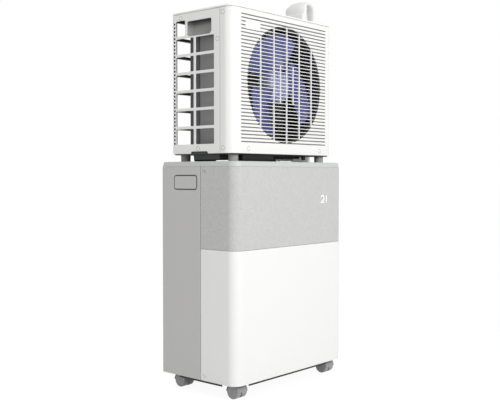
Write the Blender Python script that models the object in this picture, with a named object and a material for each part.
"""Portable split air conditioner: an indoor unit on castors with its outdoor unit parked on the lid.

Metres, +Z up. +X is the right-hand side seen from the front, the front faces -Y, and the origin is
on the floor below the middle of the indoor unit.
"""

import math

import bmesh
import bpy
from mathutils import Vector
from mathutils.geometry import tessellate_polygon

# ---------------------------------------------------------------- driving sizes
GAP = 0.0003  # between pieces that touch
SEAM = 0.0006  # visible joint line between two covers
HIDDEN_REACH = 0.020  # how far a cutter runs past what it cuts

# Indoor unit
BODY_W = 0.500
BODY_D = 0.292
BODY_H = 0.600
BODY_WALL = 0.003
FRONT_R = 0.030  # upright front corners
REAR_R = 0.007  # upright rear corners
REAR_SHELL_D = 0.159  # how far the rear shell reaches forward to the front covers
FABRIC_H = 0.230  # height of the fabric-covered upper cover
LID_H = 0.015
LID_PLATE = 0.004
LID_INSET = 0.0035
TRAY_DROP = 0.009  # tray below the body's lower edge
TRAY_INSET = 0.012
TRAY_FLOOR = 0.012

# Castors
WHEEL_R = 0.020
WHEEL_W = 0.0175
WHEEL_GAP = 0.006  # between the two wheels of a pair
WHEEL_CHAMFER = 0.0015
AXLE_R = 0.003
HOOD_T = 0.0011
HOOD_GAP = 0.0006
STEM_R = 0.004
CASTOR_IN = 0.045  # swivel axis in from the housing's side
CASTOR_BACK = 0.0425  # swivel axis in from the housing's front and back
CASTOR_TRAIL = 0.006  # wheels sit this far ahead of the swivel axis
BAY_CLEAR = 0.0035  # between a castor's swept circle and the tray

# Side handles
HANDLE_SETBACK = 0.0135  # from the cover seam to the opening
HANDLE_DROP = 0.044  # middle of the opening below the housing's top
HANDLE_L = 0.0935
HANDLE_H = 0.042
HANDLE_R = 0.009
FLAP_GAP = 0.0012
FLAP_PIVOT_IN = 0.0048  # hinge axis in from the side face
FLAP_PIVOT_DROP = 0.0035  # hinge axis below the top of the opening
FLAP_BARREL_R = 0.0023
FLAP_PIN_R = 0.0015
CUP_DEPTH = 0.040
CUP_WALL = 0.003

# Air path of the indoor unit
OUTLET_MARGIN = 0.082  # from the housing's side to the end of the outlet
OUTLET_SETBACK = 0.028  # from the housing's front to the outlet
OUTLET_D = 0.058
OUTLET_FOOT_CLEAR = 0.016  # from the outlet's end to the outdoor unit's feet beside it
DUCT_WALL = 0.0025
DUCT_LIP = 0.001  # the duct's end plates stand this far past its sheets
DRUM_DROP = 0.122  # drum axis below the housing's top
DRUM_R = 0.048
DRUM_RUN = 0.008  # running gap to the scroll
DRUM_END_RUN = 0.002  # running gap to the end plates
DRUM_DISC = 0.003
DRUM_SHAFT_R = 0.004
DRUM_BLADES = 12
DRUM_BLADE_T = 0.0018
VANE_DROP = 0.001  # vane axis below the housing's top
VANE_CHORD = 0.027
VANE_T = 0.0024
VANE_END_RUN = 0.001
VANE_PIN_R = 0.0015
COIL_MARGIN = 0.070  # from the housing's side to the evaporator
COIL_BACK = 0.014  # from the housing's back to the evaporator
COIL_T = 0.032
COIL_DROP = 0.0537  # top of the evaporator below the housing's top
PAN_CLEAR = 0.0427  # from the compressor up to the drain pan
PAN_H = 0.014
PAN_T = 0.003
PAN_D = 0.090
INTAKE_MARGIN = 0.060  # from the housing's side to the intake
INTAKE_LIFT = 0.030  # lower edge of the intake above the drain pan
INTAKE_DROP = 0.042  # upper edge of the intake below the housing's top
INTAKE_R = 0.008
INTAKE_SLOTS = 10
FILTER_T = 0.004
FILTER_IN = 0.003

# Controls and small fittings
BUTTONS = 4
BUTTON_PITCH = 0.030
BUTTON_L = 0.018
BUTTON_W = 0.008
BUTTON_SETBACK = 0.016  # from the housing's front
BUTTON_PROUD = 0.0006
BUTTON_FLANGE = 0.002
DISPLAY_IN = 0.0965  # middle of the display in from the housing's right side
DISPLAY_DROP = 0.0985  # and below its top
DISPLAY_W = 0.072
DISPLAY_H = 0.063
DISPLAY_T = 0.010
INLET_IN = 0.070  # middle of the mains socket in from the housing's left side
INLET_LIFT = 0.068  # and above its lower edge
INLET_W = 0.030
INLET_H = 0.022
INLET_R = 0.003
INLET_DEPTH = 0.022
PLUG_IN = 0.100  # drain plug in from the housing's right side
PLUG_LIFT = 0.038  # and above its lower edge
PLUG_R = 0.0067
PLUG_DEPTH = 0.012
PLUG_CAP_R = 0.011
PLUG_CAP_T = 0.0035

# Machinery in the foot of the indoor unit
COMPRESSOR_R = 0.055
COMPRESSOR_H = 0.200
COMPRESSOR_FLANGE = 0.012
COMPRESSOR_IN = 0.140  # axis in from the housing's right side
COMPRESSOR_Y = 0.020
TANK_R = 0.024
TANK_H = 0.150
MOTOR_R = 0.034
MOTOR_L = 0.040
ELECTRONICS_W = 0.140
ELECTRONICS_D = 0.080
ELECTRONICS_H = 0.180
ELECTRONICS_IN = 0.105  # middle in from the housing's left side
ELECTRONICS_SETBACK = 0.076  # and from its front

# Outdoor unit
OUT_W = 0.468
OUT_D = 0.235
OUT_H = 0.406
OUT_STAND = 0.022  # height of its feet
OUT_WALL = 0.0025
OUT_FRONT_R = 0.029
OUT_REAR_R = 0.006
OUT_FRONT_D = 0.044  # how far the front panel wraps back
OUT_REAR_WRAP = 0.012  # how far a side panel wraps on to the back
TOP_T = 0.006
FOOT_R = 0.014
FOOT_IN = 0.036  # foot axis in from the side
FOOT_FRONT_IN = 0.0275
FOOT_REAR_IN = 0.0195
OUT_PAN_T = 0.012
BELLY_DROP = 0.015
BELLY_LEFT_IN = 0.069
BELLY_RIGHT_IN = 0.084
BELLY_FRONT_IN = 0.0395
BELLY_REAR_IN = 0.0355
BELLY_TAPER = 0.032
TERMINAL_IN = 0.035  # middle of the terminal box in from the left side
TERMINAL_W = 0.050
TERMINAL_FRONT_IN = 0.0575
TERMINAL_REAR_IN = 0.0775
TERMINAL_DROP = 0.018

# Outdoor grilles and carrying scoop
FAN_DROP = 0.001  # fan axis below mid height
GRILLE_SIDE = 0.064  # from the round grille to the panel's side
GRILLE_EDGE = 0.033  # from the round grille to the panel's top and bottom
SLOT_PITCH = 0.0201
SLOT_H = 0.011
WINDOW_FRONT_IN = 0.0235  # from the front seam to the side windows
WINDOW_REAR_IN = 0.0165  # from the back to the side windows
WINDOW_POST = 0.0084  # upright bar between the two columns
WINDOW_BAR = 0.0082  # level bars between the rows
WINDOW_ROWS = 7
WINDOW_LOW = 0.027  # lowest row above the unit's underside
WINDOW_TOP = 0.0253  # highest row below the unit's top
SCOOP_FRONT_IN = 0.0335  # from the front seam to the carrying scoop
SCOOP_REAR_IN = 0.062  # from the back to the carrying scoop
SCOOP_TOP = 0.030  # upper edge of the scoop below the unit's top
SCOOP_H = 0.043
SCOOP_DEPTH = 0.023
SCOOP_WALL = 0.002
SCOOP_FLOOR = ((0.45, 0.09), (0.80, 0.33), (1.0, 0.65))  # shares of its depth and height
REAR_WINDOW_COLUMNS = 3
REAR_WINDOW_BAR = 0.012
REAR_WINDOW_EDGE = 0.006  # bar along each end of the rear grille
NOTCH_FRONT_IN = 0.0905
NOTCH_REAR_IN = 0.0745
NOTCH_H = 0.0065
BADGE_IN = 0.087  # middle of the blank plate in from the left side
BADGE_DROP = 0.049  # and below the unit's top
BADGE_W = 0.062
BADGE_H = 0.026
BADGE_T = 0.0009

# Outdoor air path
SHROUD_IN = 0.031  # shroud in from the unit's sides
SHROUD_SETBACK = 0.0055  # and from its front
SHROUD_T = 0.002
SHROUD_CLEAR = 0.0097  # above the shroud, to the top cover
RING_IN = 0.006  # shroud ring inside the round grille
RING_T = 0.003
RING_L = 0.052
TIP_RUN = 0.006  # running gap round the fan
FAN_SETBACK = 0.0375  # middle of the fan behind the unit's front
FAN_DEPTH = 0.044
FAN_BLADES = 3
FAN_BLADE_T = 0.003
FIRST_BLADE = 115  # degrees from +X at rest
HUB_R = 0.050
HUB_L = 0.040
FAN_SHAFT_R = 0.004
SHAFT_GRIP = 0.010  # length of the shaft inside the hub's face
MOTOR_RUN = 0.004  # from the hub to the motor
FAN_MOTOR_R = 0.045
FAN_MOTOR_L = 0.055
BRACKET_T = 0.004
BRACKET_W = 0.016
BRACKET_X = 0.040
BRACKET_RIM = 0.004
CONDENSER_BACK = 0.0375  # from the unit's back to the coil
CONDENSER_T = 0.025
CONDENSER_CLEAR = 0.0207  # above the coil, to the top cover
CONDENSER_GAP = 0.003  # from the shroud's sides to the coil
FIN_PITCH = 0.020

# Hose between the two units
HOSE_W = 0.075
HOSE_T = 0.018
HOSE_BACK = 0.0725  # middle of the hose in from the outdoor unit's back
HOSE_RISE = 0.102  # top of the arch above the outdoor unit
BEND_R = 0.026  # centreline radius of the arch
OUT_LEG_OFF = 0.020  # leg beside the outdoor unit, from its side
IN_LEG_OFF = 0.031  # leg down to the indoor unit, from that unit's side
LEG_CLEAR = 0.023  # and at least this far from the connection cover
BEND_DROP = 0.065  # end of the arch below the outdoor unit's top
CUFF_TOP_DROP = 0.045  # upper cuff's narrow end below the arch's top
CUFF_LOW_DROP = 0.085  # its wide end below the outdoor unit's top
CUFF_LOW_W = 0.100
CUFF_TOP_W = 0.083
COVER_LIFT = 0.041  # connection cover above the outdoor unit's underside
COVER_D = 0.024
COVER_W = 0.112
COVER_R = 0.010
LOWER_CUFF_DROP = 0.172  # lower cuff's foot below the housing's top
LOWER_CUFF_H = 0.085
LOWER_CUFF_WRAP = 0.0155  # cuff's outer face beyond the hose's middle
LOWER_CUFF_W = 0.095
LOWER_CUFF_R = 0.010

# ---------------------------------------------------------------- sizes that follow from them
BODY_X = BODY_W / 2
BODY_Y = BODY_D / 2
BODY_Z = 2 * WHEEL_R + HOOD_GAP + HOOD_T + GAP  # underside, just above the castors' hoods
BODY_TOP = BODY_Z + BODY_H
LID_TOP = BODY_TOP + LID_H
SEAM_Y = BODY_Y - REAR_SHELL_D
FABRIC_Z = BODY_TOP - FABRIC_H
TRAY_Z = BODY_Z - TRAY_DROP
FLOOR_Z = BODY_Z + BODY_WALL + TRAY_FLOOR
CASTOR_X = BODY_X - CASTOR_IN
CASTOR_Y = BODY_Y - CASTOR_BACK
CASTOR_HALF = WHEEL_GAP / 2 + WHEEL_W
CASTOR_REACH = CASTOR_TRAIL + WHEEL_R + HOOD_GAP + HOOD_T
CASTOR_BAY_R = math.hypot(CASTOR_REACH, CASTOR_HALF) + BAY_CLEAR
HANDLE_Y = SEAM_Y + HANDLE_SETBACK + HANDLE_L / 2
HANDLE_Z = BODY_TOP - HANDLE_DROP
OUTLET_FRONT_Y = -BODY_Y + OUTLET_SETBACK
OUTLET_REAR_Y = OUTLET_FRONT_Y + OUTLET_D
DRUM_Y = OUTLET_FRONT_Y + DRUM_R + DRUM_RUN
DRUM_Z = BODY_TOP - DRUM_DROP
SCROLL_TOP = LID_TOP - LID_PLATE - GAP
VANE_Z = BODY_TOP - VANE_DROP
VANE_SPACING = OUTLET_D / 2
PAN_Z = FLOOR_Z + GAP + COMPRESSOR_H + PAN_CLEAR
PAN_TOP = PAN_Z + PAN_H
COIL_L = BODY_W - 2 * COIL_MARGIN
COIL_FRONT_Y = BODY_Y - COIL_BACK - COIL_T
COIL_Z = PAN_Z + PAN_T + GAP
COIL_H = BODY_TOP - COIL_DROP - COIL_Z
INTAKE_W = BODY_W - 2 * INTAKE_MARGIN
INTAKE_Z = PAN_Z + INTAKE_LIFT
INTAKE_H = BODY_TOP - INTAKE_DROP - INTAKE_Z
BUTTON_Y = -BODY_Y + BUTTON_SETBACK
DISPLAY_X = BODY_X - DISPLAY_IN
DISPLAY_Z = BODY_TOP - DISPLAY_DROP
INLET_X = -BODY_X + INLET_IN
INLET_Z = BODY_Z + INLET_LIFT
PLUG_X = BODY_X - PLUG_IN
PLUG_Z = BODY_Z + PLUG_LIFT
COMPRESSOR_X = BODY_X - COMPRESSOR_IN
ELECTRONICS_X = -BODY_X + ELECTRONICS_IN
ELECTRONICS_Y = -BODY_Y + ELECTRONICS_SETBACK
OUT_X = OUT_W / 2
OUT_Y = OUT_D / 2
OUT_Z = LID_TOP + OUT_STAND
OUT_TOP = OUT_Z + OUT_H
OUT_WALL_TOP = OUT_TOP - TOP_T - SEAM
OUT_FLOOR_Z = OUT_Z + OUT_PAN_T
OUT_SEAM_Y = -OUT_Y + OUT_FRONT_D
FOOT_X = OUT_X - FOOT_IN
OUTLET_L = 2 * min(BODY_X - OUTLET_MARGIN, FOOT_X - FOOT_R - OUTLET_FOOT_CLEAR)
SCROLL_X = OUTLET_L / 2 + DUCT_WALL
FAN_AXIS_Z = OUT_Z + OUT_H / 2 - FAN_DROP
GRILLE_R = min(OUT_X - GRILLE_SIDE, OUT_H / 2 - GRILLE_EDGE)
RING_R = GRILLE_R - RING_IN
FAN_R = RING_R - TIP_RUN
FAN_Y = -OUT_Y + FAN_SETBACK
WINDOW_L = (OUT_D - OUT_FRONT_D - WINDOW_FRONT_IN - WINDOW_REAR_IN - WINDOW_POST) / 2
WINDOW_FRONT = (OUT_SEAM_Y + WINDOW_FRONT_IN, OUT_SEAM_Y + WINDOW_FRONT_IN + WINDOW_L)
WINDOW_REAR = (OUT_Y - WINDOW_REAR_IN - WINDOW_L, OUT_Y - WINDOW_REAR_IN)
WINDOW_H = (OUT_H - WINDOW_LOW - WINDOW_TOP - (WINDOW_ROWS - 1) * WINDOW_BAR) / WINDOW_ROWS
WINDOW_PITCH = WINDOW_H + WINDOW_BAR
SCOOP_FRONT = OUT_SEAM_Y + SCOOP_FRONT_IN
SCOOP_REAR = OUT_Y - SCOOP_REAR_IN
SCOOP_HIGH_Z = OUT_TOP - SCOOP_TOP
SCOOP_LOW_Z = SCOOP_HIGH_Z - SCOOP_H
TOP_WINDOW_FRONT_Y = SCOOP_REAR + WINDOW_POST
SHROUD_X = OUT_X - SHROUD_IN
SHROUD_FRONT_Y = -OUT_Y + SHROUD_SETBACK
SHROUD_H = OUT_H - OUT_PAN_T - TOP_T - GAP - SHROUD_CLEAR
CONDENSER_FRONT_Y = OUT_Y - CONDENSER_BACK - CONDENSER_T
CONDENSER_H = OUT_H - OUT_PAN_T - TOP_T - GAP - CONDENSER_CLEAR
SHROUD_REAR_Y = CONDENSER_FRONT_Y - CONDENSER_GAP
FAN_MOTOR_Y = FAN_Y + HUB_L / 2 + MOTOR_RUN
HOSE_Y = OUT_Y - HOSE_BACK
HOSE_TOP = OUT_TOP + HOSE_RISE
HOSE_OUT_X = OUT_X + OUT_LEG_OFF
COVER_X = OUT_X + COVER_D
COVER_LOW_Z = OUT_Z + COVER_LIFT
HOSE_IN_X = max(BODY_X + IN_LEG_OFF, COVER_X + LEG_CLEAR)
BEND_END_Z = OUT_TOP - BEND_DROP
CUFF_TOP_Z = HOSE_TOP - CUFF_TOP_DROP
CUFF_LOW_Z = OUT_TOP - CUFF_LOW_DROP
LOWER_CUFF_Z = BODY_TOP - LOWER_CUFF_DROP
LOWER_CUFF_X = HOSE_IN_X + LOWER_CUFF_WRAP

# ---------------------------------------------------------------- colours
SHELL_GREY = (0.43, 0.43, 0.42)
FABRIC_GREY = (0.52, 0.52, 0.51)
PANEL_WHITE = (0.90, 0.90, 0.89)
LID_GREY = (0.58, 0.59, 0.56)
DARK = (0.03, 0.03, 0.032)
CASTOR_GREY = (0.16, 0.16, 0.165)
OUT_WHITE = (0.88, 0.88, 0.87)
RUBBER_GREY = (0.22, 0.22, 0.22)
FAN_BLUE = (0.07, 0.08, 0.26)
ALUMINIUM = (0.72, 0.73, 0.74)
STEEL = (0.45, 0.46, 0.47)
HOSE_GREY = (0.62, 0.62, 0.60)


# ---------------------------------------------------------------- outlines
def polar(centre, radius, degrees):
    angle = math.radians(degrees)
    return (centre[0] + radius * math.cos(angle), centre[1] + radius * math.sin(angle))


def arc(centre, radius, start, end, steps=6):
    """Points of a round stretch, angles in degrees."""
    return [polar(centre, radius, start + (end - start) * i / steps) for i in range(steps + 1)]


def rounded(low, high, radii, steps=4):
    """Rectangle with a radius at each corner: low-left, low-right, high-right, high-left."""
    (x0, y0), (x1, y1) = low, high
    if isinstance(radii, float):
        radii = (radii,) * 4
    corners = (
        (x0 + radii[0], y0 + radii[0], 180),
        (x1 - radii[1], y0 + radii[1], 270),
        (x1 - radii[2], y1 - radii[2], 0),
        (x0 + radii[3], y1 - radii[3], 90),
    )
    points = []
    for (x, y, start), radius in zip(corners, radii):
        points += arc((x, y), radius, start, start + 90, steps)
    return points


def rectangle(x0, y0, x1, y1):
    return [(x0, y0), (x1, y0), (x1, y1), (x0, y1)]


def body_outline(inset):
    """Plan of the indoor unit, drawn in by inset."""
    x, y = BODY_X - inset, BODY_Y - inset
    front, rear = FRONT_R - inset, max(REAR_R - inset, 0.002)
    return rounded((-x, -y), (x, y), (front, front, rear, rear), 6)


def out_outline(inset):
    """Plan of the outdoor unit, drawn in by inset."""
    x, y = OUT_X - inset, OUT_Y - inset
    front, rear = OUT_FRONT_R - inset, max(OUT_REAR_R - inset, 0.002)
    return rounded((-x, -y), (x, y), (front, front, rear, rear), 6)


def wrap(half_width, face_y, seam_y, radius, wall, steps=6):
    """Plan of a cover that runs across a face and round both its corners to a seam."""
    side = 1 if seam_y > face_y else -1

    def line(inset):
        r = max(radius - inset, 0.0015)
        x, y = half_width - inset, face_y + side * inset
        left = arc((-x + r, y + side * r), r, 180, 180 + side * 90, steps)
        right = [(-px, py) for px, py in reversed(left)]
        return [(-x, seam_y)] + left + right + [(x, seam_y)]

    return line(0) + line(wall)[::-1]


def comb(x0, x1, y_back, y_valley, y_tip, pitch, fin):
    """Plan of a finned block: a solid back with fins that stand towards y_tip."""
    count = max(2, round((x1 - x0) / pitch))
    step = (x1 - x0 - fin) / (count - 1)
    points = [(x0, y_back), (x0, y_tip)]
    for i in range(count - 1):
        x = x0 + i * step + fin
        points += [(x, y_tip), (x, y_valley), (x + step - fin, y_valley), (x + step - fin, y_tip)]
    return points + [(x1, y_tip), (x1, y_back)]


# ---------------------------------------------------------------- solids
def material(name, colour, roughness, metallic=0.0):
    finish = bpy.data.materials.new(name)
    finish.use_nodes = True
    shader = finish.node_tree.nodes["Principled BSDF"]
    shader.inputs["Base Color"].default_value = (*colour, 1)
    shader.inputs["Roughness"].default_value = roughness
    shader.inputs["Metallic"].default_value = metallic
    finish.diffuse_color = (*colour, 1)
    return finish


def place(name, mesh, origin=(0, 0, 0), look=None):
    """Links a closed mesh made in world coordinates as an object whose origin is at origin."""
    frame = bmesh.new()
    frame.from_mesh(mesh)
    bmesh.ops.recalc_face_normals(frame, faces=frame.faces)
    bmesh.ops.translate(frame, verts=frame.verts, vec=-Vector(origin))
    frame.to_mesh(mesh)
    frame.free()
    mesh.shade_smooth()
    mesh.set_sharp_from_angle(angle=math.radians(35))
    piece = bpy.data.objects.new(name, mesh)
    piece.location = origin
    bpy.context.scene.collection.objects.link(piece)
    if look:
        mesh.materials.append(material(name + "_finish", *look))
    return piece


def turn_to(axis, u, v, w):
    """Point (u, v) of an outline drawn across an axis, w along it."""
    return {"Z": (u, v, w), "Y": (u, w, v), "X": (w, u, v)}[axis]


def prism(name, outline, low, high, axis="Z", holes=(), look=None, origin=(0, 0, 0)):
    """Outline with holes, carried along an axis from low to high."""
    loops = [list(outline)] + [list(hole) for hole in holes]
    flat = [point for loop in loops for point in loop]
    count = len(flat)
    corners = [turn_to(axis, u, v, low) for u, v in flat]
    corners += [turn_to(axis, u, v, high) for u, v in flat]
    caps = tessellate_polygon([[Vector((u, v, 0)) for u, v in loop] for loop in loops])
    faces = [tuple(cap) for cap in caps]
    faces += [tuple(count + i for i in reversed(cap)) for cap in caps]
    start = 0
    for loop in loops:
        for i in range(len(loop)):
            a, b = start + i, start + (i + 1) % len(loop)
            faces.append((a, b, count + b, count + a))
        start += len(loop)
    mesh = bpy.data.meshes.new(name)
    mesh.from_pydata(corners, [], faces)
    return place(name, mesh, origin, look)


def box(name, low, high, look=None):
    return prism(name, rectangle(low[0], low[1], high[0], high[1]), low[2], high[2], look=look)


def boxes(name, spans):
    """Separate boxes in one object, for cutting."""
    corners, faces = [], []
    for (x0, y0, z0), (x1, y1, z1) in spans:
        start = len(corners)
        corners += [(x, y, z) for z in (z0, z1) for y in (y0, y1) for x in (x0, x1)]
        sides = ((0, 1, 3, 2), (4, 6, 7, 5), (0, 4, 5, 1), (2, 3, 7, 6), (0, 2, 6, 4), (1, 5, 7, 3))
        faces += [tuple(start + i for i in side) for side in sides]
    mesh = bpy.data.meshes.new(name)
    mesh.from_pydata(corners, [], faces)
    return place(name, mesh)


def turned(name, profile, centre, axis="Z", steps=24, look=None, ring=False):
    """Profile of (radius, height) points turned about an axis through centre."""
    corners, rows = [], []
    for radius, height in profile:
        row = []
        for i in range(1 if radius == 0 else steps):
            angle = 2 * math.pi * i / steps - math.pi / 2
            u, v = radius * math.cos(angle), radius * math.sin(angle)
            row.append(len(corners))
            corners.append(tuple(c + p for c, p in zip(centre, turn_to(axis, u, v, height))))
        rows.append(row)
    faces = []
    for below, above in zip(rows, rows[1:] + rows[:1] if ring else rows[1:]):
        for i in range(steps):
            quad = [below[i % len(below)], below[(i + 1) % len(below)]]
            quad += [above[(i + 1) % len(above)], above[i % len(above)]]
            face = list(dict.fromkeys(quad))
            if len(face) > 2:
                faces.append(face)
    mesh = bpy.data.meshes.new(name)
    mesh.from_pydata(corners, [], faces)
    return place(name, mesh, centre, look)


def rod(name, radius, low, high, centre, axis, steps=12):
    return turned(name, [(0, low), (radius, low), (radius, high), (0, high)], centre, axis, steps)


def combine(piece, other, operation):
    """Boolean of a piece with a helper that isn't itself part of the model."""
    change = piece.modifiers.new(f"{operation}_{other.name}", "BOOLEAN")
    change.operation = operation
    change.solver = "EXACT"
    change.object = other
    other.hide_render = True
    other.display_type = "WIRE"
    return piece


def cut(piece, other):
    return combine(piece, other, "DIFFERENCE")


def add(piece, other):
    return combine(piece, other, "UNION")


def pivot(name, location):
    """Empty on a joint's axis."""
    empty = bpy.data.objects.new(name, None)
    empty.location = location
    empty.empty_display_size = 0.02
    bpy.context.scene.collection.objects.link(empty)
    return empty


def hang(piece, parent):
    """Parents a piece to an empty and keeps the piece where it is."""
    piece.parent = parent
    piece.location = Vector(piece.location) - Vector(parent.location)
    return piece


# ---------------------------------------------------------------- indoor housing
def castor_places():
    for end, y in (("front", -CASTOR_Y), ("rear", CASTOR_Y)):
        for hand, x in (("left", -CASTOR_X), ("right", CASTOR_X)):
            yield f"{end}_{hand}", x, y


def tray_outline():
    """Plan of the tray below the body, with a round bay at each castor."""
    x, y = BODY_X - TRAY_INSET, BODY_Y - TRAY_INSET
    side = math.degrees(math.acos((x - CASTOR_X) / CASTOR_BAY_R))
    end = math.degrees(math.asin((y - CASTOR_Y) / CASTOR_BAY_R))
    corner = arc((CASTOR_X, CASTOR_Y), CASTOR_BAY_R, -side, -180 - end, 10)
    left = [(-px, py) for px, py in reversed(corner)]
    rear = corner + left
    return rear + [(-px, -py) for px, py in rear]


def base_tray():
    inside = body_outline(BODY_WALL + GAP)
    holes = [arc((x, y), STEM_R + GAP, 0, 330, 11) for _, x, y in castor_places()]
    low = BODY_Z + BODY_WALL
    tray = prism("base_tray", inside, low, FLOOR_Z, holes=holes, look=(DARK, 0.6))
    return add(tray, prism("tray_skid", tray_outline(), TRAY_Z, low + TRAY_FLOOR / 2))


def front_cover(name, low, high, look):
    plan = wrap(BODY_X, -BODY_Y, SEAM_Y, FRONT_R, BODY_WALL)
    return prism(name, plan, low, high, look=look)


def handle_opening(grow=0.0):
    """Outline of a side handle in the YZ plane."""
    y, z = HANDLE_L / 2 + grow, HANDLE_H / 2 + grow
    low = (HANDLE_Y - y, HANDLE_Z - z)
    high = (HANDLE_Y + y, HANDLE_Z + z)
    return rounded(low, high, HANDLE_R + grow)


def rear_shell():
    plan = wrap(BODY_X, BODY_Y, SEAM_Y + SEAM, REAR_R, BODY_WALL, 3)
    shell = prism("rear_shell", plan, BODY_Z, BODY_TOP, look=(SHELL_GREY, 0.45))
    reach = BODY_X + HIDDEN_REACH
    cut(shell, prism("cut_handles", handle_opening(), -reach, reach, "X"))
    low, high = intake_span(0)
    near, far = BODY_Y - HIDDEN_REACH, BODY_Y + HIDDEN_REACH
    cut(shell, prism("cut_intake", rounded(low, high, INTAKE_R), near, far, "Y"))
    cut(shell, prism("cut_inlet", inlet_outline(GAP), near, far, "Y"))
    return cut(shell, rod("cut_drain", PLUG_R + GAP, near, far, (PLUG_X, 0, PLUG_Z), "Y"))


def top_lid():
    holes = [rounded((-OUTLET_L / 2, OUTLET_FRONT_Y), (OUTLET_L / 2, OUTLET_REAR_Y), 0.006)]
    holes += [button_outline(x, GAP) for x in button_places()]
    plan = body_outline(LID_INSET)
    lid = prism("top_lid", plan, BODY_TOP + GAP, LID_TOP, holes=holes, look=(LID_GREY, 0.5))
    hollow = body_outline(LID_INSET + BODY_WALL)
    return cut(lid, prism("cut_lid_hollow", hollow, BODY_TOP - HIDDEN_REACH, LID_TOP - LID_PLATE))


def handle(hand):
    """Cup and swinging flap of the carrying handle on one side."""
    side = 1 if hand == "right" else -1
    face = side * BODY_X
    inner = face - side * (BODY_WALL + GAP)
    floor = inner - side * CUP_DEPTH
    pocket_floor = floor + side * CUP_WALL
    outer = handle_opening(CUP_WALL + GAP)
    cup = prism(f"handle_cup_{hand}", outer, *sorted((inner, floor)), "X", look=(DARK, 0.6))
    pocket = sorted((face, pocket_floor))
    cut(cup, prism(f"cut_cup_{hand}", handle_opening(GAP), *pocket, "X"))
    axis = (face - side * FLAP_PIVOT_IN, HANDLE_Y, HANDLE_Z + HANDLE_H / 2 - FLAP_PIVOT_DROP)
    seat = HANDLE_L / 2 + GAP + CUP_WALL + HIDDEN_REACH
    cut(cup, rod(f"cut_cup_pins_{hand}", FLAP_PIN_R + GAP, -seat, seat, axis, "Y"))
    plate = sorted((face, face - side * BODY_WALL))
    look = (SHELL_GREY, 0.45)
    flap = prism(f"handle_flap_{hand}", handle_opening(-FLAP_GAP), *plate, "X", look=look, origin=axis)
    barrel = HANDLE_L / 2 - HANDLE_R
    add(flap, rod(f"flap_barrel_{hand}", FLAP_BARREL_R, -barrel, barrel, axis, "Y"))
    pin = HANDLE_L / 2 + CUP_WALL / 2
    return add(flap, rod(f"flap_pin_{hand}", FLAP_PIN_R, -pin, pin, axis, "Y"))


# ---------------------------------------------------------------- castors
def castor(name, x, y):
    """Hooded fork on its stem, and the pair of wheels on their axle."""
    swivel = pivot(f"{name}_swivel_axis", (x, y, BODY_Z))
    hub = (x, y - CASTOR_TRAIL, WHEEL_R)
    inner, outer = WHEEL_R + HOOD_GAP, WHEEL_R + HOOD_GAP + HOOD_T
    hood = arc(hub[1:], outer, 0, 180, 10) + arc(hub[1:], inner, 180, 0, 10)
    fork = prism(f"castor_fork_{name}", hood, x - CASTOR_HALF, x + CASTOR_HALF, "X", look=(CASTOR_GREY, 0.4))
    web = WHEEL_GAP / 2 - HOOD_GAP
    blade = arc(hub[1:], inner + HOOD_T / 2, -18, 198, 12)
    hole = arc(hub[1:], AXLE_R + GAP, 0, 324, 9)
    add(fork, prism(f"fork_web_{name}", blade, x - web, x + web, "X", [hole]))
    stem_low = WHEEL_R + inner + HOOD_T / 10 - BODY_Z
    add(fork, rod(f"fork_stem_{name}", STEM_R, stem_low, FLOOR_Z - BODY_Z - GAP, (x, y, BODY_Z), "Z"))
    near, far = WHEEL_GAP / 2, CASTOR_HALF
    side = [(AXLE_R, near), (WHEEL_R, near)]
    side += [(WHEEL_R, far - WHEEL_CHAMFER), (WHEEL_R - WHEEL_CHAMFER, far), (0, far)]
    profile = [(r, -h) for r, h in reversed(side)] + side
    wheels = turned(f"castor_wheels_{name}", profile, hub, "X", 16, (CASTOR_GREY, 0.5))
    hang(fork, swivel)
    return hang(wheels, swivel)


# ---------------------------------------------------------------- indoor air path
def intake_span(inset):
    """Corners of the intake opening in the XZ plane, drawn in by inset."""
    low = (-INTAKE_W / 2 + inset, INTAKE_Z + inset)
    high = (INTAKE_W / 2 - inset, INTAKE_Z + INTAKE_H - inset)
    return low, high


def intake_grille():
    low, high = intake_span(SEAM)
    margin, rib = 0.012, 0.008
    pitch = (INTAKE_H - 2 * margin) / INTAKE_SLOTS
    slots = []
    for row in range(INTAKE_SLOTS):
        z = INTAKE_Z + margin + row * pitch
        for x0, x1 in ((low[0] + margin, -rib / 2), (rib / 2, high[0] - margin)):
            slots.append(rectangle(x0, z + pitch * 0.2, x1, z + pitch * 0.8))
    faces = (BODY_Y - BODY_WALL, BODY_Y)
    return prism("intake_grille", rounded(low, high, INTAKE_R - SEAM), *faces, "Y", slots, (SHELL_GREY, 0.5))


def air_filter():
    low, high = intake_span(FILTER_IN)
    rear = BODY_Y - BODY_WALL - GAP
    panes = []
    columns, rows, rib = 3, 2, 0.005
    width, height = (high[0] - low[0] - rib) / columns, (high[1] - low[1] - rib) / rows
    for column in range(columns):
        for row in range(rows):
            x, z = low[0] + rib + column * width, low[1] + rib + row * height
            panes.append(rectangle(x, z, x + width - rib, z + height - rib))
    frame = prism("air_filter", rounded(low, high, 0.004), rear - FILTER_T, rear, "Y", panes, (DARK, 0.7))
    mesh = rectangle(low[0] + rib / 2, low[1] + rib / 2, high[0] - rib / 2, high[1] - rib / 2)
    return add(frame, prism("filter_mesh", mesh, rear - FILTER_T * 0.7, rear - FILTER_T * 0.3, "Y"))


def evaporator():
    rear = COIL_FRONT_Y + COIL_T
    plan = comb(-COIL_L / 2, COIL_L / 2, COIL_FRONT_Y, COIL_FRONT_Y + COIL_T * 0.6, rear, FIN_PITCH, 0.004)
    return prism("evaporator", plan, COIL_Z, COIL_Z + COIL_H, look=(ALUMINIUM, 0.35, 0.9))


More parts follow.
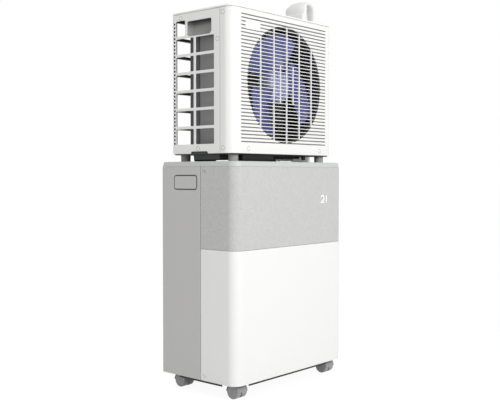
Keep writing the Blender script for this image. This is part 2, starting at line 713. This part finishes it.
def drain_pan():
    x = BODY_X - BODY_WALL - GAP
    rear = BODY_Y - BODY_WALL - GAP - FILTER_T - GAP
    front = rear - PAN_D
    pan = box("drain_pan", (-x, front, PAN_Z), (x, rear, PAN_TOP), (RUBBER_GREY, 0.6))
    low = (-x + PAN_T, front + PAN_T, PAN_Z + PAN_T)
    return cut(pan, box("cut_pan", low, (x - PAN_T, rear - PAN_T, PAN_TOP + HIDDEN_REACH)))


def strip(points, thickness):
    """Outline of a bent sheet: the points on one side, and the same line set off on the other."""
    line = [Vector(point) for point in points]
    off = []
    for i, point in enumerate(line):
        before = (point - line[i - 1]).normalized() if i else Vector((0, 0))
        after = (line[i + 1] - point).normalized() if i + 1 < len(line) else Vector((0, 0))
        along = (before + after).normalized()
        off.append(point + thickness * Vector((-along.y, along.x)))
    return [tuple(point) for point in line + off[::-1]]


def blower_scroll():
    """Duct from the evaporator round the drum and up to the outlet, closed by two end plates."""
    hub = (DRUM_Y, DRUM_Z)
    bend = DRUM_R + DRUM_RUN
    rear = COIL_FRONT_Y - GAP
    low = PAN_TOP + GAP
    foot_y = rear - 0.040
    front = [(OUTLET_FRONT_Y, SCROLL_TOP - DUCT_LIP)] + arc(hub, bend, 180, 300, 12)
    front.append((foot_y + DUCT_LIP, low + DUCT_LIP))
    tongue_z = DRUM_Z + DRUM_R + DRUM_RUN + DUCT_WALL
    top_z = low + COIL_H - 0.008
    back = [(rear - DUCT_LIP, top_z), (OUTLET_REAR_Y + 0.010, tongue_z), (OUTLET_REAR_Y, tongue_z + 0.010)]
    back.append((OUTLET_REAR_Y, SCROLL_TOP - DUCT_LIP))
    inner = SCROLL_X - DUCT_WALL / 2
    look = (DARK, 0.55)
    scroll = prism("blower_scroll", strip(front, -DUCT_WALL), -inner, inner, "X", look=look)
    add(scroll, prism("scroll_back", strip(back, -DUCT_WALL), -inner, inner, "X"))
    outside = DUCT_WALL + DUCT_LIP
    end = [(foot_y, low), (rear, low), (rear, top_z + outside)]
    end += [(OUTLET_REAR_Y + 0.030, SCROLL_TOP - 0.020), (OUTLET_REAR_Y + outside, SCROLL_TOP)]
    end += [(OUTLET_FRONT_Y - outside, SCROLL_TOP)] + arc(hub, bend + outside, 180, 300, 12)
    holes = [arc(hub, DRUM_SHAFT_R + GAP, 0, 330, 11)]
    holes += [arc((y, VANE_Z), VANE_PIN_R + GAP, 0, 315, 7) for y in vane_places()]
    for hand, side in (("left", -1), ("right", 1)):
        faces = sorted((side * OUTLET_L / 2, side * SCROLL_X))
        add(scroll, prism(f"scroll_end_{hand}", end, *faces, "X", holes))
    return scroll


def blower_wheel():
    """Cross-flow drum: three discs on a shaft, with curved blades between them."""
    half = OUTLET_L / 2 - DRUM_END_RUN
    hub = (0, DRUM_Y, DRUM_Z)
    shaft_left = -SCROLL_X - 0.006
    shaft_right = SCROLL_X + GAP + MOTOR_L / 2
    profile = [(0, shaft_left), (DRUM_SHAFT_R, shaft_left)]
    for x in (-half, -DRUM_DISC / 2, half - DRUM_DISC):
        profile += [(DRUM_SHAFT_R, x), (DRUM_R, x), (DRUM_R, x + DRUM_DISC), (DRUM_SHAFT_R, x + DRUM_DISC)]
    profile += [(DRUM_SHAFT_R, shaft_right), (0, shaft_right)]
    wheel = turned("blower_wheel", profile, hub, "X", 16, (DARK, 0.5))
    tip, root, lean = DRUM_R - 0.0025, DRUM_R - 0.012, 12
    reach = half - DRUM_DISC / 2
    for i in range(DRUM_BLADES):
        turn = 360 * i / DRUM_BLADES
        outline = strip([polar(hub[1:], tip, turn), polar(hub[1:], root, turn + lean)], DRUM_BLADE_T)
        add(wheel, prism(f"drum_blade_{i + 1}", outline, -reach, reach, "X"))
    return wheel


def blower_motor():
    """Motor on the right end plate, bored for the drum's shaft."""
    start = SCROLL_X + GAP
    bore = DRUM_SHAFT_R + GAP
    deep = MOTOR_L / 2 + 2 * GAP
    profile = [(0, deep), (bore, deep), (bore, 0), (MOTOR_R * 0.45, 0), (MOTOR_R * 0.45, 0.004)]
    profile += [(MOTOR_R, 0.006), (MOTOR_R, MOTOR_L - 0.004), (MOTOR_R * 0.8, MOTOR_L), (0, MOTOR_L)]
    return turned("blower_motor", profile, (start, DRUM_Y, DRUM_Z), "X", 16, (STEEL, 0.4, 0.8))


def vane_places():
    return [OUTLET_FRONT_Y + VANE_SPACING * (i + 0.5) for i in range(2)]


def outlet_vane(number, y):
    """Blade that turns about its long axis on a pin at each end."""
    centre = (0, y, VANE_Z)
    c, t = VANE_CHORD / 2, VANE_T / 2
    outline = [(-c, -t * 0.4), (-c * 0.4, -t), (c * 0.4, -t), (c, -t * 0.4)]
    outline += [(c, t * 0.4), (c * 0.4, t), (-c * 0.4, t), (-c, t * 0.4)]
    outline = [(y + u, VANE_Z + v) for u, v in outline]
    half = OUTLET_L / 2 - VANE_END_RUN
    look = (RUBBER_GREY, 0.4)
    vane = prism(f"outlet_vane_{number}", outline, -half, half, "X", look=look, origin=centre)
    pin = SCROLL_X + VANE_END_RUN
    return add(vane, rod(f"vane_pin_{number}", VANE_PIN_R, -pin, pin, centre, "X", 8))


# ---------------------------------------------------------------- indoor controls and fittings
def button_places():
    return [(i - (BUTTONS - 1) / 2) * BUTTON_PITCH for i in range(BUTTONS)]


def button_outline(x, grow):
    length, width = BUTTON_L / 2 + grow, BUTTON_W / 2 + grow
    return rounded((x - length, BUTTON_Y - width), (x + length, BUTTON_Y + width), width - 0.0002, 3)


def push_button(number, x):
    """Key cap that stands just above the lid, with a flange under it."""
    under = LID_TOP - LID_PLATE - GAP
    top = LID_TOP + BUTTON_PROUD
    centre = (x, BUTTON_Y, LID_TOP)
    look = (DARK, 0.35)
    key = prism(f"push_button_{number}", button_outline(x, 0), under - 0.001, top, look=look, origin=centre)
    return add(key, prism(f"button_flange_{number}", button_outline(x, BUTTON_FLANGE), under - 0.003, under))


def display_module():
    y = -BODY_Y + BODY_WALL + GAP
    low = (DISPLAY_X - DISPLAY_W / 2, DISPLAY_Z - DISPLAY_H / 2)
    high = (DISPLAY_X + DISPLAY_W / 2, DISPLAY_Z + DISPLAY_H / 2)
    module = prism("display_module", rounded(low, high, 0.004), y, y + DISPLAY_T, "Y", look=(DARK, 0.3))
    socket = rectangle(DISPLAY_X - 0.012, DISPLAY_Z - 0.006, DISPLAY_X + 0.012, DISPLAY_Z + 0.006)
    return add(module, prism("display_socket", socket, y + DISPLAY_T / 2, y + DISPLAY_T + 0.006, "Y"))


def inlet_outline(grow):
    low = (INLET_X - INLET_W / 2 - grow, INLET_Z - INLET_H / 2 - grow)
    return rounded(low, (INLET_X + INLET_W / 2 + grow, INLET_Z + INLET_H / 2 + grow), INLET_R)


def power_inlet():
    """Socket for the mains lead, flush with the back."""
    inlet = prism("power_inlet", inlet_outline(0), BODY_Y - INLET_DEPTH, BODY_Y, "Y", look=(DARK, 0.5))
    well = inlet_outline(-0.003)
    return cut(inlet, prism("cut_inlet_well", well, BODY_Y - INLET_DEPTH + 0.004, BODY_Y + HIDDEN_REACH, "Y"))


def drain_plug():
    """Pull-out stopper in the back of the housing."""
    profile = [(0, -PLUG_DEPTH), (PLUG_R * 0.8, -PLUG_DEPTH), (PLUG_R, -PLUG_DEPTH * 0.7), (PLUG_R, GAP)]
    profile += [(PLUG_CAP_R, GAP), (PLUG_CAP_R, PLUG_CAP_T - 0.001)]
    profile += [(PLUG_CAP_R - 0.001, PLUG_CAP_T), (0, PLUG_CAP_T)]
    return turned("drain_plug", profile, (PLUG_X, BODY_Y, PLUG_Z), "Y", 12, (RUBBER_GREY, 0.7))


# ---------------------------------------------------------------- indoor machinery
def vessel(name, radius, height, x, y, low, look, flange=0.0):
    """Upright domed vessel, with a mounting flange if asked for."""
    dome = radius * 0.45
    foot = [(0, 0), (radius + flange, 0), (radius + flange, 0.004), (radius, 0.005)] if flange else []
    if not flange:
        foot = [(0, 0), (radius * 0.6, dome * 0.3), (radius * 0.9, dome * 0.7)]
    body = [(radius, dome), (radius, height - dome)]
    body += [(radius * 0.92, height - dome * 0.55), (radius * 0.6, height - dome * 0.15), (0, height)]
    return turned(name, foot + body, (x, y, low), "Z", 16, look)


def compressor():
    size = (COMPRESSOR_R, COMPRESSOR_H, COMPRESSOR_X, COMPRESSOR_Y, FLOOR_Z + GAP)
    return vessel("compressor", *size, (DARK, 0.45, 0.2), COMPRESSOR_FLANGE)


def accumulator():
    x = COMPRESSOR_X - COMPRESSOR_R - TANK_R - GAP
    low = FLOOR_Z + (COMPRESSOR_H - TANK_H) / 2
    return vessel("accumulator", TANK_R, TANK_H, x, COMPRESSOR_Y, low, (STEEL, 0.4, 0.7))


def electronics_box():
    x0, x1 = ELECTRONICS_X - ELECTRONICS_W / 2, ELECTRONICS_X + ELECTRONICS_W / 2
    y0, y1 = ELECTRONICS_Y - ELECTRONICS_D / 2, ELECTRONICS_Y + ELECTRONICS_D / 2
    plan = comb(x0, x1, y0, y1 - 0.014, y1, FIN_PITCH, 0.003)
    low = FLOOR_Z + GAP
    return prism("electronics_box", plan, low, low + ELECTRONICS_H, look=(STEEL, 0.5, 0.6))


# ---------------------------------------------------------------- outdoor housing
def window_rows():
    """Lower edge of each row of side windows, lowest first."""
    return [OUT_Z + WINDOW_LOW + row * WINDOW_PITCH for row in range(WINDOW_ROWS)]


def outdoor_front_panel():
    plan = wrap(OUT_X, -OUT_Y, OUT_SEAM_Y, OUT_FRONT_R, OUT_WALL)
    panel = prism("outdoor_front_panel", plan, OUT_Z, OUT_WALL_TOP, look=(OUT_WHITE, 0.35))
    count = int(GRILLE_R / SLOT_PITCH)
    slots = []
    for i in range(-count, count + 1):
        middle = i * SLOT_PITCH
        half = math.sqrt(GRILLE_R**2 - (abs(middle) + SLOT_H / 2) ** 2)
        z = FAN_AXIS_Z + middle
        slots.append(((-half, -OUT_Y - HIDDEN_REACH, z - SLOT_H / 2), (half, SHROUD_FRONT_Y, z + SLOT_H / 2)))
    return cut(panel, boxes("cut_front_slots", slots))


def side_plan(hand):
    """Plan of an outdoor side panel: from the front seam back and round on to the rear face."""
    side = 1 if hand == "right" else -1
    outer = [(OUT_X, OUT_SEAM_Y + SEAM)]
    outer += arc((OUT_X - OUT_REAR_R, OUT_Y - OUT_REAR_R), OUT_REAR_R, 0, 90, 3)
    outer.append((OUT_X - OUT_REAR_WRAP, OUT_Y))
    radius = OUT_REAR_R - OUT_WALL
    inner = [(OUT_X - OUT_REAR_WRAP, OUT_Y - OUT_WALL)]
    inner += arc((OUT_X - OUT_REAR_R, OUT_Y - OUT_REAR_R), radius, 90, 0, 3)
    inner.append((OUT_X - OUT_WALL, OUT_SEAM_Y + SEAM))
    return [(side * x, y) for x, y in outer + inner]


def outdoor_left_panel():
    panel = prism("outdoor_left_panel", side_plan("left"), OUT_Z, OUT_WALL_TOP, look=(OUT_WHITE, 0.35))
    x0, x1 = -OUT_X - HIDDEN_REACH, -OUT_X + 2 * OUT_WALL
    windows = []
    rows = window_rows()
    for z in rows:
        top = z + WINDOW_H
        rear_start = TOP_WINDOW_FRONT_Y if z == rows[-1] else WINDOW_REAR[0]
        windows.append(((x0, rear_start, z), (x1, WINDOW_REAR[1], top)))
        if z != rows[-1]:
            windows.append(((x0, WINDOW_FRONT[0], z), (x1, WINDOW_FRONT[1], top)))
    notch_front, notch_rear = -OUT_Y + NOTCH_FRONT_IN, OUT_Y - NOTCH_REAR_IN
    windows.append(((x0, notch_front, OUT_Z - HIDDEN_REACH), (x1, notch_rear, OUT_Z + NOTCH_H)))
    cut(panel, boxes("cut_left_windows", windows))
    return cut(panel, prism("cut_left_scoop", scoop_outline(0), x0, x1, "X"))


def outdoor_right_panel():
    return prism("outdoor_right_panel", side_plan("right"), OUT_Z, OUT_WALL_TOP, look=(OUT_WHITE, 0.35))


def outdoor_rear_grille():
    edge = OUT_X - OUT_REAR_WRAP - SEAM
    first = -edge + REAR_WINDOW_EDGE
    bars = 2 * REAR_WINDOW_EDGE + (REAR_WINDOW_COLUMNS - 1) * REAR_WINDOW_BAR
    width = (2 * edge - bars) / REAR_WINDOW_COLUMNS
    holes = []
    for z in window_rows():
        for column in range(REAR_WINDOW_COLUMNS):
            x = first + column * (width + REAR_WINDOW_BAR)
            holes.append(rectangle(x, z, x + width, z + WINDOW_H))
    outline = rectangle(-edge, OUT_Z, edge, OUT_WALL_TOP)
    return prism("outdoor_rear_grille", outline, OUT_Y - OUT_WALL, OUT_Y, "Y", holes, (OUT_WHITE, 0.35))


def outdoor_top_cover():
    return prism("outdoor_top_cover", out_outline(0), OUT_TOP - TOP_T, OUT_TOP, look=(OUT_WHITE, 0.35))


def scoop_outline(grow):
    """Carrying recess in the YZ plane: square at the front end, rounder at the rear."""
    low = (SCOOP_FRONT - grow, SCOOP_LOW_Z - grow)
    high = (SCOOP_REAR + grow, SCOOP_HIGH_Z + grow)
    return rounded(low, high, (0.012 + grow, 0.003 + grow, 0.003 + grow, 0.006 + grow), 3)


def handle_scoop():
    """Cup behind the carrying recess, with a sloping floor."""
    face = -OUT_X + OUT_WALL + GAP
    deep = face + SCOOP_DEPTH
    scoop = prism("handle_scoop", scoop_outline(SCOOP_WALL), face, deep, "X", look=(OUT_WHITE, 0.4))
    floor = deep - SCOOP_WALL
    run, rise = floor - face, SCOOP_H
    hollow = [(face - HIDDEN_REACH, SCOOP_LOW_Z), (face, SCOOP_LOW_Z)]
    hollow += [(face + run * across, SCOOP_LOW_Z + rise * up) for across, up in SCOOP_FLOOR]
    hollow += [(floor, SCOOP_HIGH_Z), (face - HIDDEN_REACH, SCOOP_HIGH_Z)]
    return cut(scoop, prism("cut_scoop", hollow, SCOOP_FRONT, SCOOP_REAR, "Y"))


def outdoor_base_pan():
    """Floor of the outdoor unit, with a belly below it that tapers up at the right."""
    look = (DARK, 0.6)
    pan = prism("outdoor_base_pan", out_outline(OUT_WALL + GAP), OUT_Z + GAP, OUT_FLOOR_Z, look=look)
    low, inside = OUT_Z - BELLY_DROP, OUT_Z + OUT_PAN_T / 2
    left, right = -OUT_X + BELLY_LEFT_IN, OUT_X - BELLY_RIGHT_IN
    belly = [(left, inside), (left, low + 0.002), (left + 0.002, low)]
    belly += [(right - BELLY_TAPER, low), (right, OUT_Z), (right, inside)]
    return add(pan, prism("pan_belly", belly, -OUT_Y + BELLY_FRONT_IN, OUT_Y - BELLY_REAR_IN, "Y"))


def terminal_box():
    x = -OUT_X + TERMINAL_IN
    low = (x - TERMINAL_W / 2, -OUT_Y + TERMINAL_FRONT_IN)
    high = (x + TERMINAL_W / 2, OUT_Y - TERMINAL_REAR_IN)
    outline = rounded(low, high, 0.004, 2)
    return prism("terminal_box", outline, OUT_Z - TERMINAL_DROP, OUT_Z, look=(DARK, 0.5))


def outdoor_foot(name, x, y):
    """Rubber foot between the pan and the lid that it stands on."""
    height = OUT_STAND - GAP
    profile = [(0, 0), (FOOT_R - 0.002, 0), (FOOT_R, 0.002), (FOOT_R * 0.92, height * 0.55)]
    profile += [(FOOT_R * 0.75, height * 0.65), (FOOT_R * 0.75, height), (0, height)]
    return turned(f"outdoor_foot_{name}", profile, (x, y, LID_TOP + GAP), "Z", 12, (RUBBER_GREY, 0.7))


def badge_plate():
    """Blank plate on the front grille."""
    x, z = -OUT_X + BADGE_IN, OUT_TOP - BADGE_DROP
    low = (x - BADGE_W / 2, z - BADGE_H / 2)
    high = (x + BADGE_W / 2, z + BADGE_H / 2)
    back = -OUT_Y - GAP
    outline = rounded(low, high, 0.0015, 2)
    return prism("badge_plate", outline, back - BADGE_T, back, "Y", look=(PANEL_WHITE, 0.3))


# ---------------------------------------------------------------- outdoor air path
def condenser_coil():
    half = SHROUD_X - SHROUD_T - GAP
    valley = CONDENSER_FRONT_Y + CONDENSER_T * 0.6
    rear = CONDENSER_FRONT_Y + CONDENSER_T
    plan = comb(-half, half, CONDENSER_FRONT_Y, valley, rear, FIN_PITCH, 0.004)
    low = OUT_FLOOR_Z + GAP
    return prism("condenser_coil", plan, low, low + CONDENSER_H, look=(ALUMINIUM, 0.35, 0.9))


def fan_shroud():
    """Box between front panel and coil, with a ring round the fan."""
    plan = wrap(SHROUD_X, SHROUD_FRONT_Y, SHROUD_REAR_Y, 0.004, SHROUD_T, 2)
    low = OUT_FLOOR_Z + GAP
    shroud = prism("fan_shroud", plan, low, low + SHROUD_H, look=(OUT_WHITE, 0.5))
    centre = (0, SHROUD_FRONT_Y, FAN_AXIS_Z)
    cut(shroud, rod("cut_shroud", RING_R + RING_T / 2, -HIDDEN_REACH, HIDDEN_REACH, centre, "Y", 32))
    ring = [(RING_R, 0), (RING_R + RING_T, 0), (RING_R + RING_T, RING_L), (RING_R, RING_L)]
    return add(shroud, turned("shroud_ring", ring, centre, "Y", 32, ring=True))


def fan_blade_mesh(name, turn):
    """Broad swept blade: wide at the tip, pitched along the axis, of even thickness."""
    across, along = 4, 5
    corners, faces = [], []
    for face in (-0.5, 0.5):
        for i in range(across + 1):
            share = i / across
            radius = HUB_R - 0.004 + (FAN_R - HUB_R + 0.004) * share
            span = 62 + 22 * share
            sweep = 26 * share**1.5
            depth = FAN_DEPTH * (1 - 0.25 * share)
            for j in range(along + 1):
                step = j / along
                angle = math.radians(turn + sweep + span * (step - 0.5))
                y = FAN_Y + depth * (step - 0.5) + face * FAN_BLADE_T
                corners.append((radius * math.cos(angle), y, FAN_AXIS_Z + radius * math.sin(angle)))
    row, layer = along + 1, (across + 1) * (along + 1)
    for i in range(across):
        for j in range(along):
            a = i * row + j
            quad = (a, a + 1, a + row + 1, a + row)
            faces += [quad, tuple(layer + k for k in reversed(quad))]
    edge = [j for j in range(row)] + [i * row + along for i in range(1, across + 1)]
    edge += [across * row + j for j in range(along - 1, -1, -1)] + [i * row for i in range(across - 1, 0, -1)]
    for a, b in zip(edge, edge[1:] + edge[:1]):
        faces.append((a, b, layer + b, layer + a))
    mesh = bpy.data.meshes.new(name)
    mesh.from_pydata(corners, [], faces)
    return place(name, mesh)


def axial_fan():
    centre = (0, FAN_Y, FAN_AXIS_Z)
    front, back = -HUB_L / 2, HUB_L / 2
    bore = FAN_SHAFT_R + GAP
    profile = [(0, front), (HUB_R * 0.6, front + 0.001), (HUB_R * 0.92, front + 0.006)]
    profile += [(HUB_R, front + 0.014), (HUB_R, back), (bore, back)]
    profile += [(bore, front + SHAFT_GRIP), (0, front + SHAFT_GRIP)]
    fan = turned("axial_fan", profile, centre, "Y", 24, (FAN_BLUE, 0.35))
    for i in range(FAN_BLADES):
        add(fan, fan_blade_mesh(f"fan_blade_{i + 1}", FIRST_BLADE + 360 * i / FAN_BLADES))
    return fan


def fan_motor():
    tip = -(HUB_L + MOTOR_RUN) + SHAFT_GRIP + GAP
    radius = FAN_MOTOR_R
    profile = [(0, tip), (FAN_SHAFT_R, tip), (FAN_SHAFT_R, 0), (radius * 0.7, 0), (radius, 0.008)]
    profile += [(radius, FAN_MOTOR_L), (0, FAN_MOTOR_L)]
    return turned("fan_motor", profile, (0, FAN_MOTOR_Y, FAN_AXIS_Z), "Y", 16, (STEEL, 0.4, 0.7))


def motor_bracket():
    """Two uprights with a round seat between them, standing on the pan behind the motor."""
    y = FAN_MOTOR_Y + FAN_MOTOR_L + GAP
    low = OUT_FLOOR_Z + GAP
    high = low + SHROUD_H
    seat = arc((0, FAN_AXIS_Z), FAN_MOTOR_R + BRACKET_RIM, 0, 345, 23)
    bracket = prism("motor_bracket", seat, y, y + BRACKET_T, "Y", look=(STEEL, 0.4, 0.8))
    for hand, side in (("left", -1), ("right", 1)):
        x0, x1 = sorted((side * (BRACKET_X - BRACKET_W / 2), side * (BRACKET_X + BRACKET_W / 2)))
        post = box(f"bracket_post_{hand}", (x0, y + 0.0005, low), (x1, y + BRACKET_T - 0.0005, high))
        add(bracket, post)
    return bracket


# ---------------------------------------------------------------- hose
def loft(name, rings, look=None):
    """Closed solid through rings of equal point counts, capped at both ends."""
    count = len(rings[0])
    corners = [point for ring in rings for point in ring]
    faces = [tuple(range(count)), tuple(range(len(corners) - count, len(corners)))]
    for i in range(len(rings) - 1):
        for j in range(count):
            a, b = i * count + j, i * count + (j + 1) % count
            faces.append((a, b, b + count, a + count))
    mesh = bpy.data.meshes.new(name)
    mesh.from_pydata(corners, [], faces)
    return place(name, mesh, look=look)


def hose_section(width, thickness):
    """Flattened oval of the hose: across, and through its thickness."""
    return rounded((-width / 2, -thickness / 2), (width / 2, thickness / 2), thickness * 0.45, 2)


def hose_line():
    """Centreline of the arch in the XZ plane, from the outdoor leg over to the indoor leg."""
    top = HOSE_TOP - HOSE_T / 2 - BEND_R
    middle = HOSE_OUT_X + BEND_R
    line = [(HOSE_OUT_X, CUFF_TOP_Z + GAP)] + arc((middle, top), BEND_R, 180, 0, 10)
    wide_x = middle + BEND_R
    for i in range(1, 6):
        share = i / 5
        ease = share * share * (3 - 2 * share)
        line.append((wide_x + (HOSE_IN_X - wide_x) * ease, top + (BEND_END_Z - top) * share))
    return line


def hose_bend():
    line = [Vector(point) for point in hose_line()]
    rings = []
    for i, point in enumerate(line):
        first, last = i == 0, i == len(line) - 1
        along = Vector((0, 1)) if first else Vector((0, -1)) if last else line[i + 1] - line[i - 1]
        side = Vector((-along.y, along.x)).normalized()
        ring = []
        for across, through in hose_section(HOSE_W, HOSE_T):
            spot = point + through * side
            ring.append((spot.x, HOSE_Y + across, spot.y))
        rings.append(ring)
    return loft("hose_bend", rings, (HOSE_GREY, 0.5))


def hose_leg():
    """Straight run of the flat hose, ribbed across."""
    low, high = LOWER_CUFF_Z + LOWER_CUFF_H + GAP, BEND_END_Z - GAP
    ribs = 6
    rings = []
    for i in range(2 * ribs + 1):
        shrink = 0.0016 if i % 2 else 0.0
        section = hose_section(HOSE_W - shrink, HOSE_T - shrink)
        z = low + (high - low) * i / (2 * ribs)
        rings.append([(HOSE_IN_X + through, HOSE_Y + across, z) for across, through in section])
    return loft("hose_leg", rings, (HOSE_GREY, 0.6))


def hose_cuff_upper():
    """Flared sleeve that carries the outdoor end of the hose."""
    near, far = OUT_X + GAP, HOSE_OUT_X + HOSE_T / 2
    rings = []
    spans = (
        (0.0, CUFF_LOW_W, near, COVER_X),
        (0.45, CUFF_LOW_W - 0.004, near + 0.002, COVER_X + 0.003),
        (0.8, CUFF_TOP_W + 0.004, near + 0.004, far + 0.004),
        (1.0, CUFF_TOP_W, near + 0.006, far + 0.003),
    )
    for share, width, x0, x1 in spans:
        z = CUFF_LOW_Z + (CUFF_TOP_Z - CUFF_LOW_Z) * share
        outline = rounded((x0, HOSE_Y - width / 2), (x1, HOSE_Y + width / 2), 0.008, 3)
        rings.append([(x, y, z) for x, y in outline])
    return loft("hose_cuff_upper", rings, (HOSE_GREY, 0.5))


def connection_cover():
    """Cover over the couplings on the outdoor unit's right side, open towards the panel."""
    near = OUT_X + GAP
    low = (HOSE_Y - COVER_W / 2, COVER_LOW_Z)
    high = (HOSE_Y + COVER_W / 2, CUFF_LOW_Z - GAP)
    cover = prism("connection_cover", rounded(low, high, COVER_R), near, COVER_X, "X", look=(OUT_WHITE, 0.35))
    wall = OUT_WALL
    inner = rounded((low[0] + wall, low[1] + wall), (high[0] - wall, high[1] - wall), COVER_R - wall)
    return cut(cover, prism("cut_cover", inner, near - HIDDEN_REACH, COVER_X - wall, "X"))


def hose_cuff_lower():
    """Sleeve where the hose enters the indoor unit's right side."""
    near = BODY_X + GAP
    half = LOWER_CUFF_W / 2
    radii = (0.001, LOWER_CUFF_R, LOWER_CUFF_R, 0.001)
    plan = rounded((near, HOSE_Y - half), (LOWER_CUFF_X, HOSE_Y + half), radii, 4)
    return prism("hose_cuff_lower", plan, LOWER_CUFF_Z, LOWER_CUFF_Z + LOWER_CUFF_H, look=(SHELL_GREY, 0.5))


# ---------------------------------------------------------------- assembly
def indoor_unit():
    base_tray()
    rear_shell()
    front_cover("front_lower_cover", BODY_Z, FABRIC_Z - SEAM / 2, (PANEL_WHITE, 0.3))
    front_cover("front_upper_cover", FABRIC_Z + SEAM / 2, BODY_TOP, (FABRIC_GREY, 0.9))
    top_lid()
    for hand in ("left", "right"):
        handle(hand)
    for name, x, y in castor_places():
        castor(name, x, y)
    for number, x in enumerate(button_places(), 1):
        push_button(number, x)
    display_module()
    power_inlet()
    drain_plug()
    pull = pivot("intake_panel_pull_axis", (0, BODY_Y, INTAKE_Z + INTAKE_H / 2))
    for piece in (intake_grille(), air_filter()):
        hang(piece, pull)
    evaporator()
    drain_pan()
    blower_scroll()
    blower_wheel()
    blower_motor()
    for number, y in enumerate(vane_places(), 1):
        outlet_vane(number, y)
    compressor()
    accumulator()
    electronics_box()
    hose_cuff_lower()
    hose_leg()


def outdoor_unit():
    """Everything that lifts off with the outdoor unit, on one empty in the middle of its underside."""
    pieces = [
        outdoor_front_panel(),
        outdoor_left_panel(),
        outdoor_right_panel(),
        outdoor_rear_grille(),
        outdoor_top_cover(),
        outdoor_base_pan(),
        terminal_box(),
        handle_scoop(),
        badge_plate(),
        condenser_coil(),
        fan_shroud(),
        axial_fan(),
        fan_motor(),
        motor_bracket(),
        connection_cover(),
        hose_cuff_upper(),
        hose_bend(),
    ]
    for end, y in (("front", -OUT_Y + FOOT_FRONT_IN), ("rear", OUT_Y - FOOT_REAR_IN)):
        for hand, x in (("left", -FOOT_X), ("right", FOOT_X)):
            pieces.append(outdoor_foot(f"{end}_{hand}", x, y))
    lift = pivot("outdoor_unit_lift_axis", (0, 0, OUT_Z))
    for piece in pieces:
        hang(piece, lift)


def main():
    for old in list(bpy.data.objects):
        bpy.data.objects.remove(old, do_unlink=True)
    indoor_unit()
    outdoor_unit()


main()
